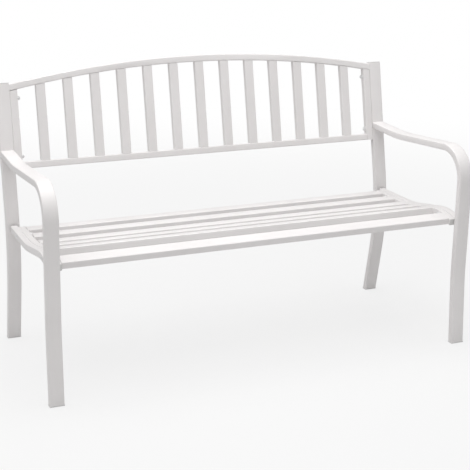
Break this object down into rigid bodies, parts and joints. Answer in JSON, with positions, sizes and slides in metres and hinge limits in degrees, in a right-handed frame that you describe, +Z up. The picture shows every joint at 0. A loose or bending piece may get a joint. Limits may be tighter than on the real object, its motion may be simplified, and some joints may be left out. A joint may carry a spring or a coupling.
{
  "type": "garden bench",
  "caption": "Steel garden bench with curved arms, a slatted back under an arched top rail and a contoured slatted seat.",
  "frame": {"origin": "on the ground, in the middle of the bench's width and depth", "axes": "+X to the right seen from the front, +Y to the back, +Z up"},
  "size_m": [1.2772, 0.6011, 0.8337],
  "materials": {
    "white_paint": "gloss white powder coat",
    "white_plastic": "satin moulded plastic",
    "fasteners": "zinc plate"
  },
  "bodies": {
    "root": {"rear_post_left": "white_paint", "rear_post_right": "white_paint", "arm_and_front_leg_left": "white_paint", "arm_and_front_leg_right": "white_paint", "seat_side_rail_left": "white_paint", "seat_side_rail_right": "white_paint", "post_cap_left": "white_plastic", "post_cap_right": "white_plastic", "foot_front_left": "white_plastic", "foot_front_right": "white_plastic", "foot_rear_left": "white_plastic", "foot_rear_right": "white_plastic", "back_top_rail": "white_paint", "back_lower_rail": "white_paint", "back_stile_left": "white_paint", "back_stile_right": "white_paint", "back_slat_01": "white_paint", "back_slat_02": "white_paint", "back_slat_03": "white_paint", "back_slat_04": "white_paint", "back_slat_05": "white_paint", "back_slat_06": "white_paint", "back_slat_07": "white_paint", "back_slat_08": "white_paint", "back_slat_09": "white_paint", "back_slat_10": "white_paint", "back_slat_11": "white_paint", "back_slat_12": "white_paint", "back_slat_13": "white_paint", "seat_end_tube_left": "white_paint", "seat_end_tube_right": "white_paint", "seat_front_bar": "white_paint", "seat_slat_1": "white_paint", "seat_slat_2": "white_paint", "seat_slat_3": "white_paint", "seat_slat_4": "white_paint", "seat_slat_5": "white_paint", "seat_end_plugs": "white_plastic", "back_bolts": "fasteners", "back_washers": "fasteners", "back_nuts": "fasteners", "seat_bolts": "fasteners", "seat_washers": "fasteners", "seat_nuts": "fasteners"}
  },
  "joints": []
}
